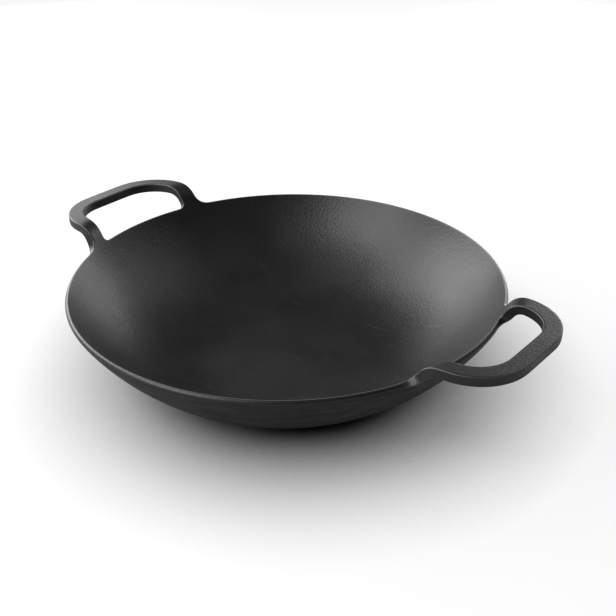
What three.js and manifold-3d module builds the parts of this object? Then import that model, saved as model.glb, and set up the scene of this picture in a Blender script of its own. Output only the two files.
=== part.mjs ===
// Cast iron wok: a shallow round bowl on a flat base, with two loop handles that grow out of its rim.
// The real wok is one casting. It is divided here where its forms meet: base, wall, rim and two handles.
// Millimetres, +Z up. The origin is the centre of the flat base, and the handles lie along the X axis.

import * as THREE from "three";
import { mergeVertices } from "three/addons/utils/BufferGeometryUtils.js";
import Module from "manifold-3d";

// Bowl, in section
const RIM_RADIUS = 180; // outer edge of the rim, before it is rounded
const RIM_HEIGHT = 74; // the same edge above the table
const BASE_RADIUS = 99; // where the flat base and the wall would meet without a fillet
const WALL_ARC = 178; // radius of the wall's outer face, seen in section
const WALL_THICKNESS = 4; // in the rim band and just below it
const FLOOR_THICKNESS = 5;
const BASE_FILLET = 14; // between the flat base and the wall, outside
const FLOOR_FILLET = 118; // wide bend between the floor and the wall, inside
const JOINT_SLOPE = 30; // degrees, slope of that bend where the base ends and the wall starts
const RIM_ROUND = 0.9; // on both edges of the rim

// Handles
const HANDLE_REACH = 50; // from the rim's outer edge to the outside of the grip
const LEG_ANGLE = 18; // degrees along the rim, from the X axis to the middle of a leg
const GRIP_WIDTH = 14;
const GRIP_THICKNESS = 8;
const GRIP_ROUND = 2.4; // on the four edges of the grip
const MOST_ROUND = 0.45; // share of an edge's thickness that each of its two rounds may take
const CORNER_RADIUS = 36; // of the loop's corners, at the middle of the grip
const NECK_RISE = 8.5; // length of leg that goes on along the wall's slope, above the rim
const NECK_RADIUS = 19; // bend from the wall's slope to the level of the loop
const LOOP_FALL = 1; // degrees that the loop falls away from the bowl
const ROOT_FILLET_OUTSIDE = 9; // between a leg and the rim, outside the loop
const ROOT_FILLET_INSIDE = 5; // the same, inside the loop
const SQUARE_ABOVE = 3; // fillets above the rim, where the sections of a leg are square to it
const ROOT_TAPER = 16; // length over which the back of a leg runs out into the rim
const RIM_BELOW_ROOT = 8; // how much further down the wall the rim band goes
const SEAT_GAP = 0.3; // joint line between a handle and the bowl

// Fineness of the facets
const ROUND_STEPS = 96; // round the bowl
const ARC_STEP = 5; // degrees, along the wall and its fillets
const EDGE_STEPS = 2; // round an edge of the rim or of the grip
const LEG_STEP = 1.8; // along a leg
const CORNER_STEPS = 10; // round a corner of the loop

const SEASONED_IRON = { color: 0x262626, roughness: 0.5, metalness: 0.5 };
const { degToRad, lerp, smoothstep, clamp } = THREE.MathUtils;
const wasm = await Module();
wasm.setup();

// Section of the bowl, as (radius, height) points. An angle is the slope of the surface there, in radians,
// so a point of an arc that opens upwards lies at (sin slope, -cos slope) from the arc's centre.

const baseEdge = new THREE.Vector2(BASE_RADIUS, 0);
const rimEdge = new THREE.Vector2(RIM_RADIUS, RIM_HEIGHT);
const wallCentre = centreOfArc(baseEdge, rimEdge, WALL_ARC);
const rimSlope = Math.atan2(RIM_RADIUS - wallCentre.x, wallCentre.y - RIM_HEIGHT);
const innerArc = WALL_ARC - WALL_THICKNESS;
const baseBend = filletOnLevel(0, BASE_FILLET, WALL_ARC);
const floorBend = filletOnLevel(FLOOR_THICKNESS, FLOOR_FILLET, innerArc);
const jointSlope = degToRad(JOINT_SLOPE);
const jointInside = onArc(floorBend.centre, FLOOR_FILLET, jointSlope);
const jointOutside = Math.atan2(jointInside.x - wallCentre.x, wallCentre.y - jointInside.y);
const bandSlope = rimSlope - (ROOT_TAPER + RIM_BELOW_ROOT) / WALL_ARC;

// Centre of the arc of a given radius from a to b that bulges away from the bowl's inside.
function centreOfArc(a, b, radius) {
  const half = a.distanceTo(b) / 2;
  const along = b.clone().sub(a).normalize();
  const middle = a.clone().add(b).multiplyScalar(0.5);
  return middle.addScaledVector(new THREE.Vector2(-along.y, along.x), Math.sqrt(radius ** 2 - half ** 2));
}

// Bend of the given radius between a level line at the given height and the arc of the wall, inside that arc.
function filletOnLevel(height, radius, arc) {
  const centre = new THREE.Vector2(0, height + radius);
  const drop = wallCentre.y - centre.y;
  centre.x = wallCentre.x + Math.sqrt((arc - radius) ** 2 - drop ** 2);
  return { centre, slope: Math.atan2(centre.x - wallCentre.x, drop) };
}

function onArc(centre, radius, slope) {
  return new THREE.Vector2(centre.x + radius * Math.sin(slope), centre.y - radius * Math.cos(slope));
}

function arcPoints(centre, radius, from, to, steps = arcSteps(from, to)) {
  return Array.from({ length: steps + 1 }, (_, i) => onArc(centre, radius, lerp(from, to, i / steps)));
}

function arcSteps(from, to) {
  return Math.ceil(Math.abs(to - from) / degToRad(ARC_STEP));
}

// A quarter turn round an edge, which starts where the surface has the given slope.
function edgeRound(arc, round, edge, slope) {
  return arcPoints(onArc(wallCentre, arc, edge), round, slope, slope + Math.PI / 2, EDGE_STEPS);
}

// Outline of the base: flat underneath, turned up at its edge, with the start of the floor's bend inside.
function baseSection() {
  return [
    new THREE.Vector2(0, 0),
    ...arcPoints(baseBend.centre, BASE_FILLET, 0, baseBend.slope),
    ...arcPoints(wallCentre, WALL_ARC, baseBend.slope, jointOutside).slice(1),
    ...arcPoints(floorBend.centre, FLOOR_FILLET, jointSlope, 0),
    new THREE.Vector2(0, FLOOR_THICKNESS),
  ];
}

// Outline of the wall between the base and the rim band, which thins upwards along the floor's bend.
function wallSection() {
  return [
    ...arcPoints(wallCentre, WALL_ARC, jointOutside, bandSlope),
    ...arcPoints(wallCentre, innerArc, bandSlope, floorBend.slope),
    ...arcPoints(floorBend.centre, FLOOR_FILLET, floorBend.slope, jointSlope).slice(1),
  ];
}

// Outline of the rim band, cut square to the wall, with both edges rounded. A margin makes it larger.
function rimSection(margin = 0) {
  const outer = WALL_ARC + margin;
  const inner = innerArc - margin;
  const round = RIM_ROUND + margin;
  const end = rimSlope + margin / WALL_ARC;
  const outerEdge = end - Math.asin(round / (outer - round));
  const innerEdge = end - Math.asin(round / (inner + round));
  return [
    ...arcPoints(wallCentre, outer, bandSlope, outerEdge),
    ...edgeRound(outer - round, round, outerEdge, outerEdge).slice(1),
    ...edgeRound(inner + round, round, innerEdge, innerEdge + Math.PI / 2),
    ...arcPoints(wallCentre, inner, innerEdge, bandSlope).slice(1),
  ];
}

function closed(section) {
  return [...section, section[0].clone()];
}

// Turns a section about the Z axis.
function revolve(section) {
  return new THREE.LatheGeometry(section, ROUND_STEPS).rotateX(Math.PI / 2);
}

// The top face of a handle in section: the wall's inner face, then a leg that goes on along its slope,
// bends outwards and falls a little. Gives the height and the slope at a distance from the Z axis, and the
// climb, which is the length along the section from the rim and is negative below it.

const rimInside = onArc(wallCentre, innerArc, rimSlope);
const legAngle = degToRad(LEG_ANGLE);
const loopFall = degToRad(LOOP_FALL);
const upWall = new THREE.Vector2(Math.cos(rimSlope), Math.sin(rimSlope));
const neckStart = rimInside.clone().addScaledVector(upWall, NECK_RISE);
const neckCentre = onArc(neckStart, NECK_RADIUS, rimSlope);
const neckEnd = onArc(neckCentre, NECK_RADIUS, Math.PI - loopFall);

function topFace(radius) {
  if (radius < rimInside.x) {
    const slope = Math.asin((radius - wallCentre.x) / innerArc);
    return { height: wallCentre.y - innerArc * Math.cos(slope), slope, climb: innerArc * (slope - rimSlope) };
  }
  if (radius < neckStart.x) {
    const climb = (radius - rimInside.x) / Math.cos(rimSlope);
    return { height: rimInside.y + climb * Math.sin(rimSlope), slope: rimSlope, climb };
  }
  if (radius < neckEnd.x) {
    const slope = Math.asin((neckCentre.x - radius) / NECK_RADIUS);
    const climb = NECK_RISE + NECK_RADIUS * (rimSlope - slope);
    return { height: neckCentre.y + NECK_RADIUS * Math.cos(slope), slope, climb };
  }
  const beyond = (radius - neckEnd.x) / Math.cos(loopFall);
  const climb = NECK_RISE + NECK_RADIUS * (rimSlope + loopFall) + beyond;
  return { height: neckEnd.y - beyond * Math.sin(loopFall), slope: -loopFall, climb };
}

// A point at a depth below the top face, under the plan point (x, y).
function underTopFace(x, y, depth) {
  const radius = Math.hypot(x, y);
  const { height, slope } = topFace(radius);
  const out = depth * Math.sin(slope);
  return new THREE.Vector3(x * (1 + out / radius), y * (1 + out / radius), height - depth * Math.cos(slope));
}

// Plan of the loop's middle line, from deep in the wall at one leg, round the grip, to the other leg.
function loopPlan() {
  const legY = RIM_RADIUS * Math.sin(legAngle);
  const rootRadius = onArc(wallCentre, innerArc, rimSlope - (ROOT_TAPER + SEAT_GAP) / innerArc).x;
  const rootX = Math.sqrt(rootRadius ** 2 - legY ** 2);
  const gripX = RIM_RADIUS + HANDLE_REACH - GRIP_WIDTH / 2 + GRIP_ROUND * Math.sin(loopFall);
  const cornerX = gripX - CORNER_RADIUS;
  const half = [];
  let x = rootX;
  while (x < cornerX) {
    half.push(new THREE.Vector2(x, legY));
    x += LEG_STEP * Math.cos(topFace(Math.hypot(x, legY)).slope);
  }
  for (let i = 0; i <= CORNER_STEPS; i++) {
    const turn = (Math.PI / 2) * (1 - i / CORNER_STEPS);
    const round = new THREE.Vector2(Math.cos(turn), Math.sin(turn)).multiplyScalar(CORNER_RADIUS);
    half.push(round.add(new THREE.Vector2(cornerX, legY - CORNER_RADIUS)));
  }
  const mirrored = half.map((p) => new THREE.Vector2(p.x, -p.y)).reverse();
  return [...half, ...mirrored];
}

// What a concave fillet adds to the side of a leg, at a climb above the rim.
function filletWidth(radius, climb) {
  const below = clamp(radius - climb, 0, radius);
  return radius - Math.sqrt(radius ** 2 - below ** 2);
}

// One side of the grip: how far it reaches from the middle line, and how thick its edge is. In the fillet
// the edge thins to the wall's thickness, so the rim's edge widens steadily into the side of the leg.
function gripSide(fillet, climb, thickness) {
  const extra = filletWidth(fillet, climb);
  return { reach: GRIP_WIDTH / 2 + extra, edge: lerp(thickness, WALL_THICKNESS, extra / fillet) };
}

// Section across the grip as (offset to the outside of the loop, depth under the top face): a rounded
// rectangle, whose back stays full along the middle where its edges are thin.
function gripSection(inside, outside, thickness) {
  const full = (GRIP_WIDTH / 2 - GRIP_ROUND) / 2;
  return [
    { offset: full, depth: thickness },
    ...sectionEdge(outside, 1),
    { offset: full, depth: 0 },
    { offset: -full, depth: 0 },
    ...sectionEdge(inside, -1).reverse(),
    { offset: -full, depth: thickness },
  ];
}

// The rounded edge on one side of the section, from its back to its top.
function sectionEdge({ reach, edge }, side) {
  const round = Math.min(GRIP_ROUND, MOST_ROUND * edge);
  return [edge - round, round].flatMap((depth, upper) =>
    Array.from({ length: EDGE_STEPS + 1 }, (_, i) => {
      const turn = (Math.PI / 2) * (upper - 1 + i / EDGE_STEPS);
      const offset = side * (reach - round + round * Math.cos(turn));
      return { offset, depth: depth - round * Math.sin(turn) };
    }),
  );
}

// Plan point at an offset from the middle line. A section follows the rim where the leg leaves it, and turns
// square to the middle line above the fillets.
function besideLine(point, travel, offset, climb) {
  const square = new THREE.Vector2(point.x - travel.y * offset, point.y + travel.x * offset);
  const turn = (Math.sign(point.y) * offset) / (point.length() * Math.cos(legAngle));
  const alongRim = point.clone().rotateAround(new THREE.Vector2(), turn);
  const fillet = Math.max(ROOT_FILLET_OUTSIDE, ROOT_FILLET_INSIDE);
  return alongRim.lerp(square, smoothstep(climb, fillet, SQUARE_ABOVE * fillet));
}

// Sections along the loop, each laid on the top face.
function loopRings() {
  const plan = loopPlan();
  return plan.map((point, i) => {
    const before = plan[Math.max(i - 1, 0)];
    const after = plan[Math.min(i + 1, plan.length - 1)];
    const travel = after.clone().sub(before).normalize();
    const { climb } = topFace(point.length());
    const thickness = lerp(WALL_THICKNESS, GRIP_THICKNESS, smoothstep(climb, -ROOT_TAPER, NECK_RISE));
    const inside = gripSide(ROOT_FILLET_INSIDE, climb, thickness);
    const outside = gripSide(ROOT_FILLET_OUTSIDE, climb, thickness);
    return gripSection(inside, outside, thickness).map(({ offset, depth }) => {
      const { x, y } = besideLine(point, travel, offset, climb);
      return underTopFace(x, y, depth);
    });
  });
}

// Skin over a row of rings with as many points each, closed at both ends.
function loft(rings) {
  const count = rings[0].length;
  const points = rings.flat();
  const last = points.length - count;
  const index = [];
  for (let r = 0; r < rings.length - 1; r++) {
    for (let i = 0; i < count; i++) {
      const a = r * count + i;
      const b = r * count + ((i + 1) % count);
      index.push(a, b, a + count, b, b + count, a + count);
    }
  }
  for (let i = 1; i < count - 1; i++) {
    index.push(0, i + 1, i, last, last + i, last + i + 1);
  }
  return new THREE.BufferGeometry().setFromPoints(points).setIndex(index);
}

// Solids for cutting

function solidOf(geometry) {
  const bare = geometry.clone();
  bare.deleteAttribute("normal");
  bare.deleteAttribute("uv");
  const merged = mergeVertices(bare);
  return new wasm.Manifold(
    new wasm.Mesh({
      numProp: 3,
      vertProperties: new Float32Array(merged.attributes.position.array),
      triVerts: new Uint32Array(merged.index.array),
    }),
  );
}

function geometryOf(solid) {
  const mesh = solid.getMesh();
  const geometry = new THREE.BufferGeometry();
  geometry.setAttribute("position", new THREE.BufferAttribute(mesh.vertProperties, 3));
  geometry.setIndex(new THREE.BufferAttribute(mesh.triVerts, 1));
  geometry.computeVertexNormals();
  return geometry;
}

// The handle on the +X side, cut to sit over the rim.
function handleGeometry() {
  const seat = solidOf(revolve(closed(rimSection(SEAT_GAP))));
  return geometryOf(solidOf(loft(loopRings())).subtract(seat));
}

function piece(name, geometry) {
  const mesh = new THREE.Mesh(geometry, new THREE.MeshStandardMaterial(SEASONED_IRON));
  mesh.name = name;
  return mesh;
}

const wok = new THREE.Group();
wok.add(piece("base", revolve(baseSection())));
wok.add(piece("bowl_wall", revolve(closed(wallSection()))));
wok.add(piece("rim", revolve(closed(rimSection()))));

const handle = handleGeometry();
const rightHandle = piece("right_handle", handle);
const leftHandle = piece("left_handle", handle);
leftHandle.rotation.z = Math.PI;
wok.add(rightHandle, leftHandle);

export default wok;
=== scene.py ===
import math

import bmesh
import bpy
from mathutils import Matrix, Vector


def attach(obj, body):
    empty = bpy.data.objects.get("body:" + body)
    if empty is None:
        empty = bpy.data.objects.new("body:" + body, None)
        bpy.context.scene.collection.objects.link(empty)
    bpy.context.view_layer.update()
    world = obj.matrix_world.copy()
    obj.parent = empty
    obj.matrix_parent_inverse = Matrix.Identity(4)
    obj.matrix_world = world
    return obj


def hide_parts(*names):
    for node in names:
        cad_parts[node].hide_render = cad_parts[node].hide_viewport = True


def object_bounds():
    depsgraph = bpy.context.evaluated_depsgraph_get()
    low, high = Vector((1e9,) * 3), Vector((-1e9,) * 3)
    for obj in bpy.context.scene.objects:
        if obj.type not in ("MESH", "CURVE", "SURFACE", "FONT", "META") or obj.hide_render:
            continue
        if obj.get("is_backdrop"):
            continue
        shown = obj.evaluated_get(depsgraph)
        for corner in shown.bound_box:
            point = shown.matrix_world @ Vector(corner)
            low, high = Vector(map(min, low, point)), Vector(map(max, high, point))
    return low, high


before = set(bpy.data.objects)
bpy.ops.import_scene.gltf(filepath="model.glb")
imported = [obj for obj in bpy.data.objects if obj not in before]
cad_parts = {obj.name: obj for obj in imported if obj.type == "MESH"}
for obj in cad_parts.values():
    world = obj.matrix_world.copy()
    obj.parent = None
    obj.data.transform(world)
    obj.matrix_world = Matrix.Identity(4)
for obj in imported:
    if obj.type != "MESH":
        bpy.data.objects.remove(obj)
cad_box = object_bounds()

# Cast iron wok, poured in one. The skin of the bowl and both handles is one welded cage, which is smoothed
# and then divided into the pieces of the frame. Sizes are in millimetres, made metres by MM.

MM = 0.001

# Bowl, in section
RIM_RADIUS = 180.0 * MM
RIM_HEIGHT = 74.0 * MM
BASE_RADIUS = 99.0 * MM
WALL_ARC = 178.0 * MM
WALL_THICKNESS = 4.0 * MM
FLOOR_THICKNESS = 5.0 * MM
BASE_FILLET = 14.0 * MM
FLOOR_FILLET = 118.0 * MM
JOINT_SLOPE = math.radians(30.0)
RIM_EDGE = 1.4 * MM  # from the rim's inner edge to the loop that keeps it crisp
RIM_ROUND = 2.2 * MM  # radius of its outer edge

# Handles
HANDLE_REACH = 50.0 * MM
LEG_ANGLE = math.radians(18.0)
GRIP_WIDTH = 14.0 * MM
GRIP_THICKNESS = 8.0 * MM
GRIP_EDGE = 2.1 * MM  # from an edge of the grip to the loop that keeps it crisp
CORNER_RADIUS = 36.0 * MM
NECK_RISE = 8.5 * MM
NECK_RADIUS = 19.0 * MM
LOOP_FALL = math.radians(1.0)
FILLET_OUTSIDE = 9.0 * MM
FILLET_INSIDE = 5.0 * MM
SQUARE_ABOVE = 3.0  # fillets above the rim, where the sections of a leg are square to it
ROOT_TAPER = 16.0 * MM
RIM_BELOW_ROOT = 8.0 * MM
FULL_BACK = 1 / 6  # share of the grip's width, each way, where the back of a root keeps its thickness

# Fineness of the cage
SIDES = 160  # round the bowl
FLAT_ROWS = 5  # across the floor and the sole
BEND_ROWS = 7  # along the floor's bend, up to the joint
WALL_ROWS = 4  # along each shorter arc
OUTSIDE_ROWS = 7  # up the outside of the wall
BAND_ROWS = 5  # up each side of the rim band
EDGE_ROWS = 2
LEG_COLUMN = 8  # the column of the cage that a leg stands on
LEG_SPREAD = (-2, -1, 0, 1, 2)  # columns that a leg takes, from inside the loop to outside
FILLET_RINGS = 4
LEG_STEP = 3.0 * MM
CORNER_RINGS = 10
GRIP_RINGS = 2  # from a corner of the loop to the middle of the grip
SMOOTHING = 2
SEAM_WELD = 0.001 * MM  # closes the seam where the turned section comes round
ON_LINE = 0.14 * MM  # how near a point of the cage lies to the line that it belongs to
ROUND_FROM_CORNER = 1 - math.sqrt(2)  # from a square corner to the middle of its round, in radii

FORMS = ("base", "bowl_wall", "rim", "right_handle", "left_handle")


def add_node(tree, kind, inputs=None, **settings):
    """Adds a node with its settings. Its inputs are linked to nodes or sockets, or set to values."""
    node = tree.nodes.new(kind)
    for name, value in settings.items():
        setattr(node, name, value)
    for key, value in (inputs or {}).items():
        if isinstance(value, bpy.types.Node):
            value = value.outputs[0]
        if isinstance(value, bpy.types.NodeSocket):
            tree.links.new(value, node.inputs[key])
        else:
            node.inputs[key].default_value = value
    return node


def linear(hex_colour):
    """Linear RGBA of an sRGB hex colour."""
    channels = [int(hex_colour[i : i + 2], 16) / 255 for i in (1, 3, 5)]
    return [c / 12.92 if c <= 0.04045 else ((c + 0.055) / 1.055) ** 2.4 for c in channels] + [1.0]


def mix(a, b, share):
    return a + (b - a) * share


def smooth(low, high, value):
    t = min(max((value - low) / (high - low), 0.0), 1.0)
    return t * t * (3 - 2 * t)


# Section of the bowl as (radius, height). A slope is the angle of the surface there.


def arc_centre(a, b, radius):
    """Centre of the arc from a to b that bulges away from the inside of the bowl."""
    along = (b - a).normalized()
    half = (b - a).length / 2
    return (a + b) / 2 + Vector((-along.y, along.x)) * math.sqrt(radius**2 - half**2)


def on_arc(centre, radius, slope):
    return centre + radius * Vector((math.sin(slope), -math.cos(slope)))


def bend_slope(height, radius, arc):
    """Slope at which a bend from the level at a height runs into the wall."""
    drop = wall_centre.y - height - radius
    return math.acos(drop / (arc - radius))


def slope_from_centre(radius, height):
    return math.atan2(radius - wall_centre.x, wall_centre.y - height)


wall_centre = arc_centre(Vector((BASE_RADIUS, 0)), Vector((RIM_RADIUS, RIM_HEIGHT)), WALL_ARC)
inner_arc = WALL_ARC - WALL_THICKNESS
rim_slope = slope_from_centre(RIM_RADIUS, RIM_HEIGHT)
base_slope = bend_slope(0, BASE_FILLET, WALL_ARC)
floor_slope = bend_slope(FLOOR_THICKNESS, FLOOR_FILLET, inner_arc)
floor_bend = on_arc(wall_centre, inner_arc - FLOOR_FILLET, floor_slope)
joint_slope = slope_from_centre(*on_arc(floor_bend, FLOOR_FILLET, JOINT_SLOPE))
band_slope = rim_slope - (ROOT_TAPER + RIM_BELOW_ROOT) / WALL_ARC


# The bowl is one section turned about the Z axis, which is a rule that a node tree can follow.


def bowl_sizes():
    """Sizes of the bowl by the names of its tree's inputs."""
    return {
        "Rim Radius": RIM_RADIUS,
        "Rim Height": RIM_HEIGHT,
        "Rim Edge": RIM_EDGE,
        "Rim Round": RIM_ROUND,
        "Wall Arc": WALL_ARC,
        "Wall Thickness": WALL_THICKNESS,
        "Floor Fillet": FLOOR_FILLET,
        "Base Fillet": BASE_FILLET,
        "Rim Slope": rim_slope,
        "Band Slope": band_slope,
        "Floor Slope": floor_slope,
        "Base Slope": base_slope,
        "Joint Inside": JOINT_SLOPE,
        "Joint Outside": joint_slope,
        "Sides": SIDES,
    }


def bowl_tree(sizes):
    """Node tree of the bowl: a section of lines and arcs, turned about the Z axis."""
    tree = bpy.data.node_groups.new("turned_bowl", "GeometryNodeTree")
    for name, value in sizes.items():
        kind = "NodeSocketInt" if isinstance(value, int) else "NodeSocketFloat"
        tree.interface.new_socket(name, in_out="INPUT", socket_type=kind).default_value = value
    tree.interface.new_socket("Iron", in_out="INPUT", socket_type="NodeSocketMaterial")
    tree.interface.new_socket("Bowl", in_out="OUTPUT", socket_type="NodeSocketGeometry")
    known = dict(add_node(tree, "NodeGroupInput").outputs.items())

    # Lengths and slopes that follow from the sizes
    for name, operation, *terms in (
        ("Inner Arc", "SUBTRACT", "Wall Arc", "Wall Thickness"),
        ("Reach To Floor Bend", "SUBTRACT", "Inner Arc", "Floor Fillet"),
        ("Reach To Base Bend", "SUBTRACT", "Wall Arc", "Base Fillet"),
        ("Reach To Inner Loop", "ADD", "Inner Arc", "Rim Edge"),
        ("Reach To Outer Loop", "SUBTRACT", "Wall Arc", "Rim Round"),
        ("Back To Centre", "MULTIPLY", "Wall Arc", -1.0),
        ("Back To Round", "MULTIPLY", "Rim Round", ROUND_FROM_CORNER),
        ("Slope Of Round", "ADD", "Rim Slope", math.pi / 4),
        ("Edge Turn Inside", "DIVIDE", "Rim Edge", "Inner Arc"),
        ("Edge Turn Outside", "DIVIDE", "Rim Round", "Wall Arc"),
        ("Below Edge Inside", "SUBTRACT", "Rim Slope", "Edge Turn Inside"),
        ("Below Edge Outside", "SUBTRACT", "Rim Slope", "Edge Turn Outside"),
        ("Columns", "ADD", "Sides", 1.0),
    ):
        inputs = {i: known.get(term, term) for i, term in enumerate(terms)}
        known[name] = add_node(tree, "ShaderNodeMath", inputs, operation=operation)

    # Points of the section, each at a reach from another one along the normal of a slope
    rim_corner = {"X": known["Rim Radius"], "Y": known["Rim Height"]}
    known["Rim Corner"] = add_node(tree, "ShaderNodeCombineXYZ", rim_corner)
    for name, start, reach, slope in (
        ("Wall Centre", "Rim Corner", "Back To Centre", "Rim Slope"),
        ("Rim Inside", "Wall Centre", "Inner Arc", "Rim Slope"),
        ("Inner Loop", "Wall Centre", "Reach To Inner Loop", "Rim Slope"),
        ("Outer Loop", "Wall Centre", "Reach To Outer Loop", "Rim Slope"),
        ("Rim Outside", "Rim Corner", "Back To Round", "Slope Of Round"),
        ("Floor Bend", "Wall Centre", "Reach To Floor Bend", "Floor Slope"),
        ("Floor Edge", "Floor Bend", "Floor Fillet", 0.0),
        ("Base Bend", "Wall Centre", "Reach To Base Bend", "Base Slope"),
        ("Sole Edge", "Base Bend", "Base Fillet", 0.0),
    ):
        turned = {"Vector": (0, -1, 0), "Angle": known.get(slope, slope)}
        normal = add_node(tree, "ShaderNodeVectorRotate", turned, rotation_type="Z_AXIS")
        inputs = {0: normal, 1: known[reach], 2: known[start]}
        known[name] = add_node(tree, "ShaderNodeVectorMath", inputs, operation="MULTIPLY_ADD")
    for name, edge in (("Floor Middle", "Floor Edge"), ("Sole Middle", "Sole Edge")):
        inputs = {0: known[edge], 1: (0, 1, 0)}
        known[name] = add_node(tree, "ShaderNodeVectorMath", inputs, operation="MULTIPLY")

    # The section in order, from the middle of the floor over the rim to the middle of the sole: a line is
    # its two ends, and an arc its centre, its radius and the slopes between which it runs.
    section = (
        ("Floor Middle", "Floor Edge", FLAT_ROWS),
        ("Floor Bend", "Floor Fillet", 0.0, "Joint Inside", BEND_ROWS),
        ("Floor Bend", "Floor Fillet", "Joint Inside", "Floor Slope", WALL_ROWS),
        ("Wall Centre", "Inner Arc", "Floor Slope", "Band Slope", WALL_ROWS),
        ("Wall Centre", "Inner Arc", "Band Slope", "Below Edge Inside", BAND_ROWS),
        ("Rim Inside", "Inner Loop", EDGE_ROWS),
        ("Outer Loop", "Rim Outside", EDGE_ROWS),
        ("Wall Centre", "Wall Arc", "Below Edge Outside", "Band Slope", BAND_ROWS),
        ("Wall Centre", "Wall Arc", "Band Slope", "Joint Outside", OUTSIDE_ROWS),
        ("Wall Centre", "Wall Arc", "Joint Outside", "Base Slope", WALL_ROWS),
        ("Base Bend", "Base Fillet", "Base Slope", 0.0, WALL_ROWS),
        ("Sole Edge", "Sole Middle", FLAT_ROWS),
    )
    outline = add_node(tree, "GeometryNodeJoinGeometry")
    for *shape, rows in reversed(section):
        terms = [known.get(term, term) for term in shape]
        if len(terms) == 2:
            ends = dict(zip(("Start", "End"), terms))
            line = add_node(tree, "GeometryNodeCurvePrimitiveLine", ends, mode="POINTS")
            counted = {"Curve": line, "Count": rows}
            curve = add_node(tree, "GeometryNodeResampleCurve", counted, mode="COUNT")
        else:
            centre, radius, start, end = terms
            sweep = add_node(tree, "ShaderNodeMath", {0: end, 1: start}, operation="SUBTRACT")
            turn = {"Resolution": rows, "Radius": radius, "Start Angle": start, "Sweep Angle": sweep}
            arc = add_node(tree, "GeometryNodeCurveArc", turn, mode="RADIUS")
            place = {"Geometry": arc, "Translation": centre, "Rotation": (0, 0, -math.pi / 2)}
            curve = add_node(tree, "GeometryNodeTransform", place)
        tree.links.new(curve.outputs[0], outline.inputs[0])

    # A grid whose rows are the points of the section and whose columns go once round
    count = add_node(tree, "GeometryNodeAttributeDomainSize", {0: outline}, component="CURVE")
    rows = count.outputs["Point Count"]
    grid = add_node(tree, "GeometryNodeMeshGrid", {"Vertices X": known["Columns"], "Vertices Y": rows})
    index = add_node(tree, "GeometryNodeInputIndex")
    row = add_node(tree, "ShaderNodeMath", {0: index, 1: rows}, operation="FLOORED_MODULO")
    before = add_node(tree, "ShaderNodeMath", {0: index, 1: row}, operation="SUBTRACT")
    column = add_node(tree, "ShaderNodeMath", {0: before, 1: rows}, operation="DIVIDE")
    round_share = add_node(tree, "ShaderNodeMath", {0: column, 1: known["Sides"]}, operation="DIVIDE")
    turn = add_node(tree, "ShaderNodeMath", {0: round_share, 1: math.tau}, operation="MULTIPLY")
    sample = {"Geometry": outline, "Value": add_node(tree, "GeometryNodeInputPosition"), "Index": row}
    sampled = add_node(tree, "GeometryNodeSampleIndex", sample, data_type="FLOAT_VECTOR", domain="POINT")
    at = add_node(tree, "ShaderNodeSeparateXYZ", {0: sampled}).outputs
    upright = add_node(tree, "ShaderNodeCombineXYZ", {"X": at["X"], "Z": at["Y"]})
    about_z = {"Vector": upright, "Angle": turn}
    turned = add_node(tree, "ShaderNodeVectorRotate", about_z, rotation_type="Z_AXIS")
    bowl = add_node(tree, "GeometryNodeSetPosition", {"Geometry": grid, "Position": turned})
    bowl = add_node(tree, "GeometryNodeMergeByDistance", {"Geometry": bowl, "Distance": SEAM_WELD})
    bowl = add_node(tree, "GeometryNodeRealizeInstances", {"Geometry": bowl})
    bowl = add_node(tree, "GeometryNodeSetMaterial", {"Geometry": bowl, "Material": known["Iron"]})
    add_node(tree, "NodeGroupOutput", {"Bowl": bowl})
    return tree


def plain_mesh(holder, name):
    """Takes the evaluated mesh of an object as a mesh of its own, and removes the object."""
    depsgraph = bpy.context.evaluated_depsgraph_get()
    mesh = bpy.data.meshes.new_from_object(holder.evaluated_get(depsgraph))
    mesh.name = name
    bpy.data.objects.remove(holder)
    return mesh


def bowl_cage(iron):
    sizes = bowl_sizes()
    holder = bpy.data.objects.new("turned_bowl", bpy.data.meshes.new("turned_bowl"))
    bpy.context.scene.collection.objects.link(holder)
    turned = holder.modifiers.new("turned_bowl", "NODES")
    turned.node_group = bowl_tree(sizes)
    for item in turned.node_group.interface.items_tree:
        if item.in_out == "INPUT":
            turned[item.identifier] = iron if item.name == "Iron" else sizes[item.name]
    return plain_mesh(holder, "bowl_cage")


# Top face of a handle in section: the inner face of the wall, then a leg that goes on along its slope,
# bends outwards and falls a little. Climb is the length along it from the rim, negative below.

rim_inside = on_arc(wall_centre, inner_arc, rim_slope)
neck_start = rim_inside + NECK_RISE * Vector((math.cos(rim_slope), math.sin(rim_slope)))
neck_centre = on_arc(neck_start, NECK_RADIUS, rim_slope)
neck_end = on_arc(neck_centre, NECK_RADIUS, math.pi - LOOP_FALL)
neck_length = NECK_RISE + NECK_RADIUS * (rim_slope + LOOP_FALL)
leg_y = RIM_RADIUS * math.sin(LEG_ANGLE)


def top_face(radius):
    """Height, slope and climb at a distance from the Z axis."""
    if radius < rim_inside.x:
        slope = math.asin((radius - wall_centre.x) / inner_arc)
        return wall_centre.y - inner_arc * math.cos(slope), slope, inner_arc * (slope - rim_slope)
    if radius < neck_start.x:
        climb = (radius - rim_inside.x) / math.cos(rim_slope)
        return rim_inside.y + climb * math.sin(rim_slope), rim_slope, climb
    if radius < neck_end.x:
        slope = math.asin((neck_centre.x - radius) / NECK_RADIUS)
        climb = NECK_RISE + NECK_RADIUS * (rim_slope - slope)
        return neck_centre.y + NECK_RADIUS * math.cos(slope), slope, climb
    beyond = (radius - neck_end.x) / math.cos(LOOP_FALL)
    return neck_end.y - beyond * math.sin(LOOP_FALL), -LOOP_FALL, neck_length + beyond


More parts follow.
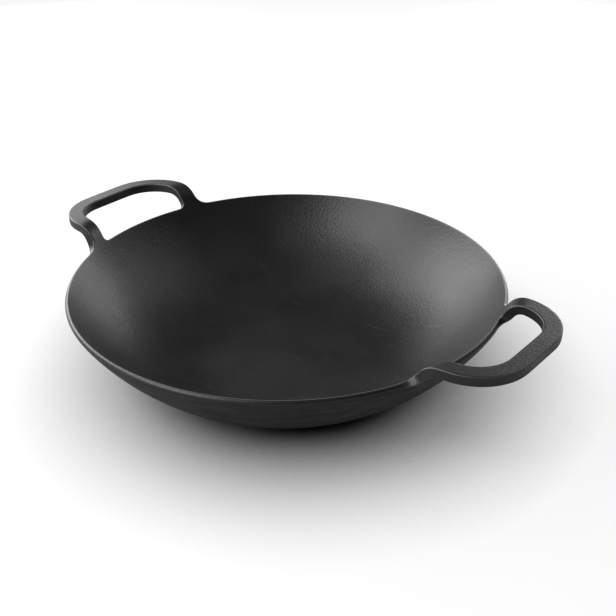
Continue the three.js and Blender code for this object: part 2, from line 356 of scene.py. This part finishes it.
def radius_at(climb):
    if climb < 0:
        return on_arc(wall_centre, inner_arc, rim_slope + climb / inner_arc).x
    if climb < NECK_RISE:
        return rim_inside.x + climb * math.cos(rim_slope)
    if climb < neck_length:
        return neck_centre.x - NECK_RADIUS * math.sin(rim_slope - (climb - NECK_RISE) / NECK_RADIUS)
    return neck_end.x + (climb - neck_length) * math.cos(LOOP_FALL)


def under_top_face(plan, depth):
    """The point at a depth below the top face, under a plan point."""
    height, slope, _ = top_face(plan.length)
    out = plan * (1 + depth * math.sin(slope) / plan.length)
    return Vector((out.x, out.y, height - depth * math.cos(slope)))


def beside_line(point, travel, offset, climb):
    """Plan point beside the loop's middle line: along the rim at the root, square to the line above it."""
    square = point + offset * Vector((-travel.y, travel.x))
    turn = math.copysign(1, point.y) * offset / (point.length * math.cos(LEG_ANGLE))
    along_rim = Matrix.Rotation(turn, 2) @ point
    return along_rim.lerp(square, smooth(FILLET_OUTSIDE, SQUARE_ABOVE * FILLET_OUTSIDE, climb))


def back_depth(climb):
    """Thickness of a leg along its middle: its back runs out into the wall below the rim."""
    return mix(WALL_THICKNESS, GRIP_THICKNESS, smooth(-ROOT_TAPER, NECK_RISE, climb))


def back_share(offset, reach):
    """How much of that thickness is left towards the edge of a leg's root."""
    return 1 - smooth(FULL_BACK * GRIP_WIDTH, reach, abs(offset))


def ring(place, inside, outside, edge):
    """Cage points round one section of a handle: over its top, down the outside, along its back and up the
    inside. Each side is given by its reach from the middle line, its climb and its share of the fillet."""
    low = Vector((edge - inside[0], *inside[1:]))
    high = Vector((outside[0] - edge, *outside[1:]))
    across = [low.lerp(high, i / (len(LEG_SPREAD) - 1)) for i in range(len(LEG_SPREAD))]
    top = [place(offset, climb, 0.0) for offset, climb, _ in across]
    back = []
    for offset, climb, flare in across:
        reach = outside[0] if offset > 0 else inside[0]
        thinned = flare * (1 - back_share(offset, reach))
        back.append(place(offset, climb, mix(back_depth(climb), WALL_THICKNESS, thinned)))
    edges = []
    for side, (reach, climb, flare) in ((1, outside), (-1, inside)):
        thick = mix(back_depth(climb), WALL_THICKNESS, flare)
        edges.append([place(side * reach, climb, depth) for depth in (0.0, edge, thick - edge, thick)])
    return top + edges[0] + back[::-1] + edges[1][::-1]


def on_leg(offset, climb, depth):
    """A point of the leg that stands at +Y."""
    radius = radius_at(climb)
    point = Vector((math.sqrt(radius**2 - leg_y**2), leg_y))
    return under_top_face(beside_line(point, Vector((1, 0)), offset, climb), depth)


def loop_ring(point, travel):
    """The ring of the grip at one point of the loop's middle line."""
    climb = top_face(point.length)[2]
    side = (GRIP_WIDTH / 2, climb, 0.0)

    def place(offset, _, depth):
        return under_top_face(beside_line(point, travel, offset, climb), depth)

    return ring(place, side, side, GRIP_EDGE)


def half_loop():
    """Rings from the root of the leg at +Y to the middle of the grip."""
    half = GRIP_WIDTH / 2
    rings = []
    for i in range(1, FILLET_RINGS + 1):
        turn = math.pi / 2 * i / FILLET_RINGS
        flare = 1 - math.sin(turn)
        rise = 1 - math.cos(turn)
        inside = (half + FILLET_INSIDE * flare, FILLET_INSIDE * rise, flare)
        outside = (half + FILLET_OUTSIDE * flare, FILLET_OUTSIDE * rise, flare)
        rings.append(ring(on_leg, inside, outside, mix(RIM_EDGE, GRIP_EDGE, i / FILLET_RINGS)))
    grip_x = RIM_RADIUS + HANDLE_REACH - half
    corner = Vector((grip_x - CORNER_RADIUS, leg_y - CORNER_RADIUS))
    corner_climb = top_face(math.hypot(corner.x, leg_y))[2]

    # A leg's sections lean where its fillets end at two heights, and straighten further up.
    lean = (FILLET_OUTSIDE - FILLET_INSIDE) / 2
    climb = FILLET_INSIDE + lean + LEG_STEP
    while climb < corner_climb - LEG_STEP / 2:
        lean = lean / 2
        rings.append(ring(on_leg, (half, climb - lean, 0.0), (half, climb + lean, 0.0), GRIP_EDGE))
        climb += LEG_STEP
    for i in range(CORNER_RINGS + 1):
        turn = math.pi / 2 * (1 - i / CORNER_RINGS)
        out = Vector((math.cos(turn), math.sin(turn)))
        rings.append(loop_ring(corner + CORNER_RADIUS * out, Vector((out.y, -out.x))))
    for i in range(1, GRIP_RINGS + 1):
        rings.append(loop_ring(Vector((grip_x, corner.y * (1 - i / GRIP_RINGS))), Vector((0, -1))))
    return rings


# The handles are welded to the bowl's cage, which opens at the rim where a leg stands.


def wall_slope(point):
    return slope_from_centre(math.hypot(point.x, point.y), point.z)


def weld_cage(mesh):
    """Joins both handles to the bowl. Returns the cage with each face tagged by its form, and for each root
    of a leg the middle of the side that faces into the loop."""
    cage = bmesh.new()
    cage.from_mesh(mesh)
    form = cage.faces.layers.int.new("form")
    for face in cage.faces:
        slope = wall_slope(face.calc_center_median())
        face[form] = (slope > joint_slope) + (slope > band_slope)
    lines = rim_lines(cage, shift_columns(cage))
    swell_roots(cage)
    half = half_loop()
    mirrored = [[Vector((p.x, -p.y, p.z)) for p in points] for points in reversed(half[:-1])]
    root_middles = []
    for name, opposite in (("right_handle", 0), ("left_handle", SIDES // 2)):
        turn = Matrix.Rotation(math.tau * opposite / SIDES, 3, "Z")
        first = root_loop(cage, lines, [(opposite + LEG_COLUMN + k) % SIDES for k in LEG_SPREAD])
        last = root_loop(cage, lines, [(opposite - LEG_COLUMN - k) % SIDES for k in LEG_SPREAD])
        root_middles += [(loop[-3].co + loop[-2].co) / 2 for loop in (first, last)]
        rings = [[cage.verts.new(turn @ p) for p in points] for points in half + mirrored]
        for a, b in zip([first] + rings, rings + [last]):
            for i in range(len(a)):
                j = (i + 1) % len(a)
                cage.faces.new((a[i], a[j], b[j], b[i]))[form] = FORMS.index(name)
    bmesh.ops.recalc_face_normals(cage, faces=cage.faces[:])
    return cage, root_middles


def shift_columns(cage):
    """Slides the cage round the bowl, so that the columns of a leg stand where its fillets start and end.
    Returns the column of each vertex."""
    pitch = math.tau / SIDES
    start = -GRIP_WIDTH / 2 - FILLET_INSIDE
    end = GRIP_WIDTH / 2 + FILLET_OUTSIDE
    middle = math.asin(leg_y / rim_inside.x)
    stops = [0] + [LEG_COLUMN + k for k in LEG_SPREAD] + [SIDES // 4]
    spread = [mix(start, end, i / (len(LEG_SPREAD) - 1)) for i in range(len(LEG_SPREAD))]
    angles = [0.0] + [middle + o / (rim_inside.x * math.cos(LEG_ANGLE)) for o in spread] + [math.pi / 2]
    shift = {}
    for i in range(len(stops) - 1):
        for column in range(stops[i], stops[i + 1] + 1):
            share = (column - stops[i]) / (stops[i + 1] - stops[i])
            shift[column] = mix(angles[i], angles[i + 1], share) - column * pitch
    columns = {}
    for vert in cage.verts:
        column = round(math.atan2(vert.co.y, vert.co.x) / pitch) % SIDES
        beside_x = min(column, SIDES - column)
        quarter = min(beside_x, SIDES // 2 - beside_x)
        mirrored = (column > SIDES // 2) != (beside_x > SIDES // 4)
        vert.co = Matrix.Rotation(-shift[quarter] if mirrored else shift[quarter], 3, "Z") @ vert.co
        columns[vert] = column
    return columns


def rim_lines(cage, columns):
    """The cage's lines along the rim, from the inner face over both edges to the outer face, by column."""
    section = [
        on_arc(wall_centre, inner_arc, rim_slope - RIM_EDGE / inner_arc),
        on_arc(wall_centre, inner_arc, rim_slope),
        on_arc(wall_centre, inner_arc + RIM_EDGE, rim_slope),
        on_arc(wall_centre, WALL_ARC - RIM_ROUND, rim_slope),
        on_arc(Vector((RIM_RADIUS, RIM_HEIGHT)), RIM_ROUND * ROUND_FROM_CORNER, rim_slope + math.pi / 4),
        on_arc(wall_centre, WALL_ARC, rim_slope - RIM_ROUND / WALL_ARC),
    ]
    lines = [{} for _ in section]
    for vert, column in columns.items():
        at = Vector((math.hypot(vert.co.x, vert.co.y), vert.co.z))
        for line, point in zip(lines, section):
            if (at - point).length < ON_LINE:
                line[column] = vert
    return lines


def swell_roots(cage):
    """Raises the outer wall below each leg, where the back of the leg runs out."""
    reaches = {-1: GRIP_WIDTH / 2 + FILLET_INSIDE, 1: GRIP_WIDTH / 2 + FILLET_OUTSIDE}
    for vert in cage.verts:
        slope = wall_slope(vert.co)
        climb = WALL_ARC * (slope - rim_slope)
        from_centre = (Vector((math.hypot(vert.co.x, vert.co.y), vert.co.z)) - wall_centre).length
        below_edge = -ROOT_TAPER < climb < -RIM_EDGE / 2
        if abs(from_centre - WALL_ARC) > ON_LINE or not below_edge:
            continue
        radius = radius_at(climb)
        beside_x = math.atan2(abs(vert.co.y), abs(vert.co.x))
        offset = (beside_x - math.asin(leg_y / radius)) * radius * math.cos(LEG_ANGLE)
        swell = (back_depth(climb) - WALL_THICKNESS) * back_share(offset, reaches[1 if offset > 0 else -1])
        round_axis = Vector((vert.co.x, vert.co.y, 0)).normalized()
        vert.co += swell * (round_axis * math.sin(slope) - Vector((0, 0, math.cos(slope))))


def root_loop(cage, lines, columns):
    """Opens the rim where a leg stands. Returns the loop that the leg grows from, ordered as a ring."""
    top = [lines[0][c] for c in columns]
    outside = [line[columns[-1]] for line in lines[1:5]]
    back = [lines[5][c] for c in reversed(columns)]
    inside = [line[columns[0]] for line in reversed(lines[1:5])]
    under_leg = {line[c] for line in lines for c in columns}
    enclosed = [face for face in cage.faces if under_leg.issuperset(face.verts)]
    bmesh.ops.delete(cage, geom=enclosed, context="FACES")
    return top + outside + back + inside


# The smoothed skin is divided into the pieces. Each piece is closed inside the iron where it was cut, and
# keeps the normals of the undivided skin, so that no joint shows.


def smoothed_skin(cage):
    mesh = bpy.data.meshes.new("wok_cage")
    cage.to_mesh(mesh)
    cage.free()
    holder = bpy.data.objects.new("wok_cage", mesh)
    bpy.context.scene.collection.objects.link(holder)
    rounding = holder.modifiers.new("rounding", "SUBSURF")
    rounding.levels = rounding.render_levels = SMOOTHING
    return plain_mesh(holder, "wok_skin")


EDGE_WEAR_AND_GLINT_FROM = 1 / (1.6 * MM)  # curvature of the edges where the black starts to wear thin and their painted highlight starts
EDGE_WEAR_AND_GLINT_TO = 1 / (0.5 * MM)


def mark_edge_wear_and_glint(skin):
    """Marks on each point how sharply the iron turns outwards there, which sets both the wear of an edge and
    its painted highlight.
    """
    turns = [0.0] * len(skin.vertices)
    points = [vert.co.copy() for vert in skin.vertices]
    normals = [normal.vector.copy() for normal in skin.vertex_normals]
    for edge in skin.edges:
        a, b = edge.vertices
        step = points[a] - points[b]
        turns[a] = max(turns[a], 2 * normals[a].dot(step) / step.length_squared)
        turns[b] = max(turns[b], -2 * normals[b].dot(step) / step.length_squared)
    wear_and_glint = skin.attributes.new("edge_wear_and_glint", "FLOAT", "POINT")
    wear_and_glint.data.foreach_set("value", [smooth(EDGE_WEAR_AND_GLINT_FROM, EDGE_WEAR_AND_GLINT_TO, turn) for turn in turns])


def loops_of(edges):
    """Closed loops of vertices along a set of edges."""
    left = set(edges)
    loops = []
    while left:
        edge = left.pop()
        start, at = edge.verts
        loop = [start]
        while at is not start:
            loop.append(at)
            edge = next(e for e in at.link_edges if e in left)
            left.discard(edge)
            at = edge.other_vert(at)
        loops.append(loop)
    return loops


def close_round(piece, inner, outer):
    """Closes a cut through the wall between its loop inside and its loop outside."""
    inner, outer = (sorted(loop, key=lambda v: math.atan2(v.co.y, v.co.x)) for loop in (inner, outer))
    for i in range(len(inner)):
        piece.faces.new((inner[i - 1], inner[i], outer[i], outer[i - 1])).material_index = 1


def close_root(piece, loop, middle):
    """Closes a cut through a leg with rungs from its top face to its back."""
    start = min(range(len(loop)), key=lambda i: (loop[i].co - middle).length)
    loop = loop[start:] + loop[:start]
    for i in range(len(loop) // 2):
        corners = [loop[i], loop[i + 1], loop[-i - 1], loop[-i]]
        piece.faces.new(list(dict.fromkeys(corners))).material_index = 1


def close_cuts(piece, root_middles):
    """Closes a piece wherever it was cut from the skin. The new faces get material index 1."""
    rounds = []
    for loop in loops_of([edge for edge in piece.edges if edge.is_boundary]):
        if len(loop) == SIDES * 2**SMOOTHING:
            rounds.append(loop)
        else:
            near = min(root_middles, key=lambda m: min((v.co - m).length for v in loop))
            close_root(piece, loop, near)
    rounds.sort(key=lambda loop: wall_slope(loop[0].co))
    for inner, outer in zip(rounds[::2], rounds[1::2]):
        close_round(piece, inner, outer)


def cut_piece(skin, node, root_middles, iron):
    """One piece of the skin, closed where it was cut."""
    piece = bmesh.new()
    piece.from_mesh(skin)
    form = piece.faces.layers.int["form"]
    normal = piece.verts.layers.float_vector.new("skin_normal")
    for vert, of_skin in zip(piece.verts, skin.vertex_normals):
        vert[normal] = of_skin.vector
    others = [face for face in piece.faces if face[form] != FORMS.index(node)]
    bmesh.ops.delete(piece, geom=others, context="FACES")
    close_cuts(piece, root_middles)
    bmesh.ops.recalc_face_normals(piece, faces=piece.faces[:])
    normals = []
    for face in piece.faces:
        face.smooth = True
        for corner in face.loops:
            normals.append(face.normal.copy() if face.material_index else Vector(corner.vert[normal]))
        face.material_index = 0
    piece.verts.layers.float_vector.remove(normal)
    mesh = bpy.data.meshes.new("iron_" + node)
    piece.to_mesh(mesh)
    piece.free()
    mesh.normals_split_custom_set(normals)
    mesh.materials.clear()
    mesh.materials.append(iron)
    solid = bpy.data.objects.new("iron_" + node, mesh)
    bpy.context.scene.collection.objects.link(solid)
    return solid


# Seasoned sand-cast iron. The sand of the mould leaves a fine pebbled skin with a slow waviness under it.
# Oil baked on in thin coats makes it a satin black that is a little uneven in tone and gloss, with faint
# scuffs from a spatula. The undersides, which meet the flame, are duller and streaked along the rim, and are
# painted darker as shade, because the light falls from above. The sharpest edges are rubbed to greyer iron,
# and painted lighter than the wear alone, as a highlight along them.

BLACK_THICK = "#171717"
BLACK_THIN = "#1c1c1c"
# painted shade: the tone of the faces that look down, darker because the light falls from above
BLACK_UNDER_PAINTED_SHADE = "#121212"
SCUFF_GREY = "#353433"
# painted highlight and wear: the grey of the rubbed edges is lighter than the wear alone, standing in for the
# glint along them
RUBBED_GREY_AND_GLINT = "#7f7c78"
UNDERSIDE_SHADE_COVER = 0.8
UNDERSIDE_SHADE_AND_SOOT_FACING = (0.3, -0.3)  # upward part of the normal where the soot and the painted shade of the undersides start and where they are full
BARE_SHARE = 0.35  # how far the bare metal shows on the sharpest edges
COAT_SHINE = 0.36  # thin, porous baked oil reflects less than a varnish
SOOT_SHINE = 0.2  # and soot less again
GLOSS_THICK = 0.37  # roughness of a thick coat of oil and of a thin one
GLOSS_THIN = 0.41
GLOSS_UNDER = (0.62, 0.82)  # roughness of the undersides, along a streak and beside it
COAT_PATCH = 45.0 * MM
STREAK_LENGTH = 35.0 * MM
STREAK_HEIGHT = 6.0 * MM
NOISE_SPREAD = (0.35, 0.65)  # nearly all of a noise lies between these
SCUFF_LENGTH = 40.0 * MM
SCUFF_WIDTH = 4.0 * MM
SCUFF_TURN = math.radians(70.0)
SCUFF_PEAKS = (0.67, 0.85)  # only the peaks of a noise are scuffs, so that they are few
SAND_GRAIN = 2.2 * MM  # coarser than the sand, so that it shows in the picture
SAND_DEPTH = 0.18 * MM
MOULD_WAVE = 28.0 * MM
MOULD_DEPTH = 0.2 * MM

# Octaves of finer noise in each pattern
STREAK_DETAIL = 3.0
COAT_DETAIL = 5.0
SCUFF_DETAIL = 2.0
SAND_DETAIL = 1.5
MOULD_DETAIL = 1.0


def seasoned_iron():
    iron = bpy.data.materials.new("seasoned_sand_cast_iron")
    iron.use_nodes = True
    tree = iron.node_tree
    shader = tree.nodes["Principled BSDF"]
    coordinates = add_node(tree, "ShaderNodeTexCoord")
    place = coordinates.outputs["Object"]

    # Where the iron faces down, and streaks along the rim there
    facing = add_node(tree, "ShaderNodeSeparateXYZ", {0: coordinates.outputs["Normal"]}).outputs["Z"]
    downward = {"Value": facing, "From Min": UNDERSIDE_SHADE_AND_SOOT_FACING[0], "From Max": UNDERSIDE_SHADE_AND_SOOT_FACING[1]}
    under = add_node(tree, "ShaderNodeMapRange", downward)
    streak_size = (1 / STREAK_LENGTH, 1 / STREAK_LENGTH, 1 / STREAK_HEIGHT)
    along_rim = add_node(tree, "ShaderNodeMapping", {"Vector": place, "Scale": streak_size})
    streak_noise = {"Vector": along_rim, "Scale": 1.0, "Detail": STREAK_DETAIL}
    streaks = add_node(tree, "ShaderNodeTexNoise", streak_noise)

    # Patches of the coat, scuffs, the painted shade of the undersides, and rubbed edges with their painted
    # highlight
    coat_noise = {"Vector": place, "Scale": 1 / COAT_PATCH, "Detail": COAT_DETAIL}
    coat = add_node(tree, "ShaderNodeTexNoise", coat_noise)
    spread = {"From Min": NOISE_SPREAD[0], "From Max": NOISE_SPREAD[1]}
    thin = add_node(tree, "ShaderNodeMapRange", {"Value": coat} | spread)
    scuff_size = (1 / SCUFF_LENGTH, 1 / SCUFF_WIDTH, 1 / SCUFF_LENGTH)
    turned = {"Vector": place, "Rotation": (0, 0, SCUFF_TURN), "Scale": scuff_size}
    along_scuffs = add_node(tree, "ShaderNodeMapping", turned)
    scuff_noise = {"Vector": along_scuffs, "Scale": 1.0, "Detail": SCUFF_DETAIL}
    scratches = add_node(tree, "ShaderNodeTexNoise", scuff_noise)
    peaks = {"Value": scratches, "From Min": SCUFF_PEAKS[0], "From Max": SCUFF_PEAKS[1]}
    scuffed = add_node(tree, "ShaderNodeMapRange", peaks)
    # Painted shade: the faces that look down get a darker tone, because the light falls from above
    painted_underside_shade = add_node(tree, "ShaderNodeMath", {0: under, 1: UNDERSIDE_SHADE_COVER}, operation="MULTIPLY")
    # Worn edges, painted lighter than the wear alone as a highlight along them
    wear_and_glint = add_node(tree, "ShaderNodeAttribute", attribute_name="edge_wear_and_glint").outputs["Fac"]

    # Tone, layer over layer. The sockets of a mix go by number, since their names repeat: 0 is the share,
    # 2 and 3 are numbers, 6 and 7 are colours.
    tone = linear(BLACK_THICK)
    layers = ((thin, BLACK_THIN), (scuffed, SCUFF_GREY), (painted_underside_shade, BLACK_UNDER_PAINTED_SHADE), (wear_and_glint, RUBBED_GREY_AND_GLINT))
    for share, colour in layers:
        over = {0: share, 6: tone, 7: linear(colour)}
        tone = add_node(tree, "ShaderNodeMix", over, data_type="RGBA").outputs[2]

    # Gloss, and the bare metal of the edges
    coat_gloss = {"Value": coat, "To Min": GLOSS_THICK, "To Max": GLOSS_THIN}
    gloss = add_node(tree, "ShaderNodeMapRange", coat_gloss | spread)
    under_gloss = {"Value": streaks, "To Min": GLOSS_UNDER[0], "To Max": GLOSS_UNDER[1]}
    dull = add_node(tree, "ShaderNodeMapRange", under_gloss | spread)
    finish = add_node(tree, "ShaderNodeMix", {0: under, 2: gloss, 3: dull}, data_type="FLOAT")
    shine = add_node(tree, "ShaderNodeMix", {0: under, 2: COAT_SHINE, 3: SOOT_SHINE}, data_type="FLOAT")
    bare = add_node(tree, "ShaderNodeMath", {0: wear_and_glint, 1: BARE_SHARE}, operation="MULTIPLY")

    # Skin left by the mould
    sand_noise = {"Vector": place, "Scale": 1 / SAND_GRAIN, "Detail": SAND_DETAIL}
    sand = add_node(tree, "ShaderNodeTexNoise", sand_noise)
    wave_noise = {"Vector": place, "Scale": 1 / MOULD_WAVE, "Detail": MOULD_DETAIL}
    wave = add_node(tree, "ShaderNodeTexNoise", wave_noise)
    pebbled = add_node(tree, "ShaderNodeBump", {"Height": sand, "Distance": SAND_DEPTH})
    skin = add_node(tree, "ShaderNodeBump", {"Height": wave, "Distance": MOULD_DEPTH, "Normal": pebbled})
    tree.links.new(tone, shader.inputs["Base Color"])
    tree.links.new(bare.outputs[0], shader.inputs["Metallic"])
    tree.links.new(finish.outputs[0], shader.inputs["Roughness"])
    tree.links.new(skin.outputs[0], shader.inputs["Normal"])
    tree.links.new(shine.outputs[0], shader.inputs["Specular IOR Level"])
    return iron


iron = seasoned_iron()
cage, root_middles = weld_cage(bowl_cage(iron))
skin = smoothed_skin(cage)
mark_edge_wear_and_glint(skin)
for node in FORMS:
    piece = cut_piece(skin, node, root_middles, iron)
    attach(piece, "root")
    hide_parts(node)

# Camera at the photo's place: azimuth 0 looks along +Y, and the picture is square.

CAMERA_AZIMUTH = math.radians(39.773)
CAMERA_ELEVATION = math.radians(29.329)
CAMERA_ROLL = math.radians(-0.595)
CAMERA_DISTANCE = 744.022 * MM
CAMERA_TARGET = Vector((44.39, -27.03, 74.0)) * MM
PICTURE_WIDTH = 616  # pixels
FOCAL_LENGTH = 955.91  # pixels
SENSOR = 36.0  # millimetres across

ahead = Vector((-math.sin(CAMERA_AZIMUTH), math.cos(CAMERA_AZIMUTH), 0))
right = Vector((math.cos(CAMERA_AZIMUTH), math.sin(CAMERA_AZIMUTH), 0))
up = Vector((0, 0, 1))


def toward(azimuth, elevation):
    """Direction at an azimuth clockwise from straight ahead of the camera, and at an elevation."""
    level = ahead * math.cos(azimuth) + right * math.sin(azimuth)
    return level * math.cos(elevation) + up * math.sin(elevation)


def set_camera():
    camera = bpy.data.cameras.new("camera")
    camera.sensor_width = SENSOR
    camera.lens = FOCAL_LENGTH / PICTURE_WIDTH * SENSOR
    back = toward(math.pi, CAMERA_ELEVATION)
    axes = Matrix((right, back.cross(right), back)).transposed() @ Matrix.Rotation(CAMERA_ROLL, 3, "Z")
    holder = bpy.data.objects.new("camera", camera)
    holder.matrix_world = Matrix.Translation(CAMERA_TARGET + back * CAMERA_DISTANCE) @ axes.to_4x4()
    bpy.context.scene.collection.objects.link(holder)
    bpy.context.scene.camera = holder


# Soft studio light: square panels round the wok, each given by its azimuth and elevation in degrees as the
# camera sees them, its width in metres and its power in watts.

PANEL_DISTANCE = 1.5  # metres
PANELS = {
    "left_front": (240, 42, 1.0, 23.0),
    "left_high": (295, 40, 1.0, 13.5),
    "left_low": (311, 22, 0.9, 13.0),
    "back_left": (332, 16, 0.7, 4.0),
    "back_right_low": (33, 8, 0.6, 6.3),
    "back_right": (36, 14, 1.0, 2.6),
    "right": (60, 38, 1.0, 4.0),
}
PAPER_WHITE = "#f6f6f6"
PAPER_GLOW = 0.8  # share of an even white in what the camera and reflections see of the paper
SHADOW_REACH = 110.0 * MM
SHADOW_OPEN = (0.2, 0.95)  # share of open sky where the shadow is full and where it ends
PAPER_HALF = 4.0  # metres, half its width
PAPER_BELOW = 0.1 * MM  # keeps the sole off the paper
ROOM_WHITE = "#ffffff"
ROOM_IN_IRON = 0.1  # strength of the room in reflections, which is dim because its walls are far off


def hang_panels():
    middle = Vector((0, 0, RIM_HEIGHT / 2))
    for name, (azimuth, elevation, width, power) in PANELS.items():
        panel = bpy.data.lights.new(name, "AREA")
        panel.shape = "SQUARE"
        panel.size = width
        panel.energy = power
        way = toward(math.radians(azimuth), math.radians(elevation))
        holder = bpy.data.objects.new(name, panel)
        holder.location = middle + way * PANEL_DISTANCE
        holder.rotation_euler = way.to_track_quat("Z", "Y").to_euler()
        bpy.context.scene.collection.objects.link(holder)


def rays(tree):
    """Camera rays, and the rays that show in reflections or through glass."""
    path = add_node(tree, "ShaderNodeLightPath").outputs
    both = {0: path["Is Glossy Ray"], 1: path["Is Transmission Ray"]}
    return path["Is Camera Ray"], add_node(tree, "ShaderNodeMath", both, operation="ADD")


def lay_paper():
    """Matt white paper, even to the camera and in reflections apart from the shadow under the wok."""
    paper = bpy.data.materials.new("matt_white_paper")
    paper.use_nodes = True
    tree = paper.node_tree
    tree.nodes.clear()
    sheet = add_node(tree, "ShaderNodeBsdfDiffuse", {"Color": linear(PAPER_WHITE)})
    shade = add_node(tree, "ShaderNodeAmbientOcclusion", {"Distance": SHADOW_REACH}).outputs["AO"]
    open_sky = {"Value": shade, "From Min": SHADOW_OPEN[0], "From Max": SHADOW_OPEN[1]}
    white = add_node(tree, "ShaderNodeEmission", {"Strength": add_node(tree, "ShaderNodeMapRange", open_sky)})
    camera, mirrored = rays(tree)
    seen = add_node(tree, "ShaderNodeMath", {0: camera, 1: mirrored}, operation="ADD")
    glow = add_node(tree, "ShaderNodeMath", {0: seen, 1: PAPER_GLOW}, operation="MULTIPLY")
    surface = add_node(tree, "ShaderNodeMixShader", {0: glow, 1: sheet, 2: white})
    add_node(tree, "ShaderNodeOutputMaterial", {"Surface": surface})
    mesh = bpy.data.meshes.new("paper")
    signs = ((-1, -1), (1, -1), (1, 1), (-1, 1))
    corners = [(x * PAPER_HALF, y * PAPER_HALF, -PAPER_BELOW) for x, y in signs]
    mesh.from_pydata(corners, [], [(0, 1, 2, 3)])
    mesh.materials.append(paper)
    floor = bpy.data.objects.new("paper", mesh)
    bpy.context.scene.collection.objects.link(floor)
    floor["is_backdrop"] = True


def paint_room():
    """A room as pale as the far paper to the camera, dim in reflections, with no light of its own."""
    room = bpy.data.worlds.new("pale_room")
    room.use_nodes = True
    tree = room.node_tree
    walls = tree.nodes["Background"]
    walls.inputs["Color"].default_value = linear(ROOM_WHITE)
    camera, mirrored = rays(tree)
    straight = add_node(tree, "ShaderNodeMath", {0: camera, 1: PAPER_GLOW}, operation="MULTIPLY")
    strength = {0: mirrored, 1: ROOM_IN_IRON, 2: straight}
    strength = add_node(tree, "ShaderNodeMath", strength, operation="MULTIPLY_ADD")
    tree.links.new(strength.outputs[0], walls.inputs["Strength"])
    bpy.context.scene.world = room


set_camera()
hang_panels()
lay_paper()
paint_room()
bpy.context.scene.view_settings.view_transform = "Standard"

boxes = {"cad": cad_box, "visual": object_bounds()}
{name: [list(corner) for corner in box] for name, box in boxes.items()}
